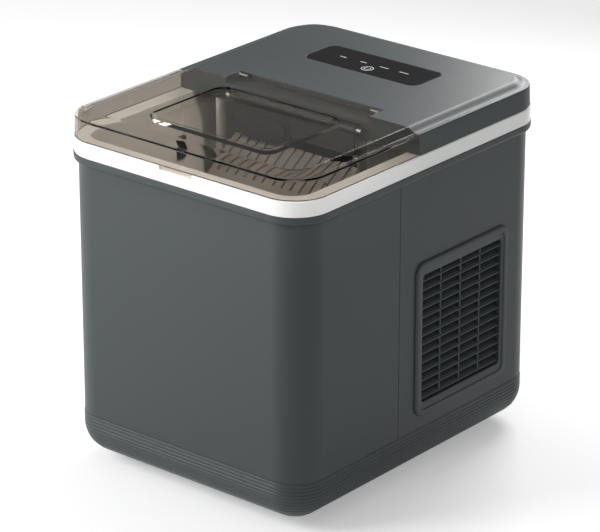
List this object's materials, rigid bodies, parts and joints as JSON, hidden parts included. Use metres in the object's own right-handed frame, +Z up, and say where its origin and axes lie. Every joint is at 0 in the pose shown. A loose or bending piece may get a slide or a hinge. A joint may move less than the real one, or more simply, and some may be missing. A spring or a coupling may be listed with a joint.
{
  "type": "ice maker",
  "caption": "Countertop bullet ice maker with a smoked hinged lid over a slotted ramp and lift-out basket, side vents, touch panel and a compressor cooling unit.",
  "frame": {"origin": "centre of the footprint, on the plane the feet stand on", "axes": "+Z up, front with the lid is -Y, +X to the right seen from the front"},
  "size_m": [0.2336, 0.291, 0.2806],
  "materials": {
    "charcoal_plastic": "fine satin moulded plastic",
    "white_plastic": "glossy white moulded plastic",
    "panel_black": "glossy black touch panel",
    "smoked_lid": "smoked brown transparent plastic",
    "grey_plastic": "satin grey plastic",
    "clear_tray": "pale grey plastic",
    "white_inner": "plain white plastic",
    "circuit_board": "green solder mask",
    "foam": "expanded foam",
    "nickel": "nickel plated",
    "copper_pipe": "drawn copper",
    "steel": "zinc plated steel",
    "black_enamel": "black enamel",
    "aluminium": "plain fins",
    "brass_valve": "plain brass",
    "dark_nylon": "dark nylon",
    "rubber": "black rubber",
    "hose": "translucent silicone hose"
  },
  "bodies": {
    "housing": {"base_pan": "charcoal_plastic", "front_housing": "charcoal_plastic", "rear_housing": "charcoal_plastic", "rim_collar": "charcoal_plastic", "top_frame": "white_plastic", "right_vent_grille": "charcoal_plastic", "left_vent_grille": "charcoal_plastic", "top_cover": "charcoal_plastic", "control_panel": "panel_black", "control_board": "circuit_board", "bin_liner": "white_plastic", "foam_jacket": "foam", "ice_ramp": "grey_plastic", "evaporator": "nickel", "evaporator_coil": "copper_pipe", "evaporator_bridge": "white_inner", "tray_motor": "white_inner", "base_plate": "steel", "compressor": "black_enamel", "compressor_grommets": "rubber", "compressor_bolts": "steel", "accumulator": "black_enamel", "condenser_fins": "aluminium", "condenser_tube": "copper_pipe", "fan_shroud": "dark_nylon", "fan_motor": "dark_nylon", "filter_drier": "copper_pipe", "capillary_tube": "copper_pipe", "discharge_line": "copper_pipe", "liquid_line": "copper_pipe", "suction_line": "copper_pipe", "hot_gas_valve": "brass_valve", "pump_housing": "dark_nylon", "pump_hose": "hose", "drain_hose": "hose", "drain_spigot": "charcoal_plastic", "float_stem": "white_inner", "ice_sensors": "dark_nylon", "main_board": "circuit_board", "board_bracket": "white_inner", "cord_gland": "dark_nylon", "base_screws": "steel", "cover_screws": "steel", "rubber_feet": "rubber"},
    "lid": {"lid": "smoked_lid", "lid_hinge_pins": "steel"},
    "basket": {"ice_basket": "grey_plastic"},
    "tray": {"water_tray": "clear_tray", "tray_shaft": "steel"},
    "pusher": {"ice_pusher": "dark_nylon", "pusher_shaft": "steel"},
    "fan": {"fan_blade": "dark_nylon"},
    "impeller": {"pump_impeller": "white_inner"},
    "float": {"level_float": "white_inner"},
    "plug": {"drain_plug": "rubber"}
  },
  "joints": [
    {"name": "lid_hinge", "type": "hinge", "parent": "housing", "child": "lid", "pos_m": [0, 0.0045, 0.2778], "axis": [-1, 0, 0], "range_deg": [0, 90]},
    {"name": "basket_lift", "type": "slide", "parent": "housing", "child": "basket", "axis": [0, 0, 1], "range_m": [0, 0.06]},
    {"name": "tray_tilt", "type": "hinge", "parent": "housing", "child": "tray", "pos_m": [0, 0.04, 0.256], "axis": [1, 0, 0], "range_deg": [0, 70]},
    {"name": "pusher_swing", "type": "hinge", "parent": "housing", "child": "pusher", "pos_m": [0, -0.0135, 0.2675], "axis": [-1, 0, 0], "range_deg": [0, 55]},
    {"name": "fan_spin", "type": "hinge", "parent": "housing", "child": "fan", "pos_m": [0.06, 0.046, 0.112], "axis": [1, 0, 0], "continuous": true},
    {"name": "pump_spin", "type": "hinge", "parent": "housing", "child": "impeller", "pos_m": [-0.08, 0, 0.118], "axis": [0, 1, 0], "continuous": true},
    {"name": "float_rise", "type": "slide", "parent": "housing", "child": "float", "axis": [0, 0, 1], "range_m": [0, 0.016]},
    {"name": "plug_pull", "type": "slide", "parent": "housing", "child": "plug", "axis": [0, 1, 0], "range_m": [0, 0.02]}
  ],
  "couplings": [
    {"joint": "pusher_swing", "follows": "tray_tilt", "ratio": 0.7}
  ]
}
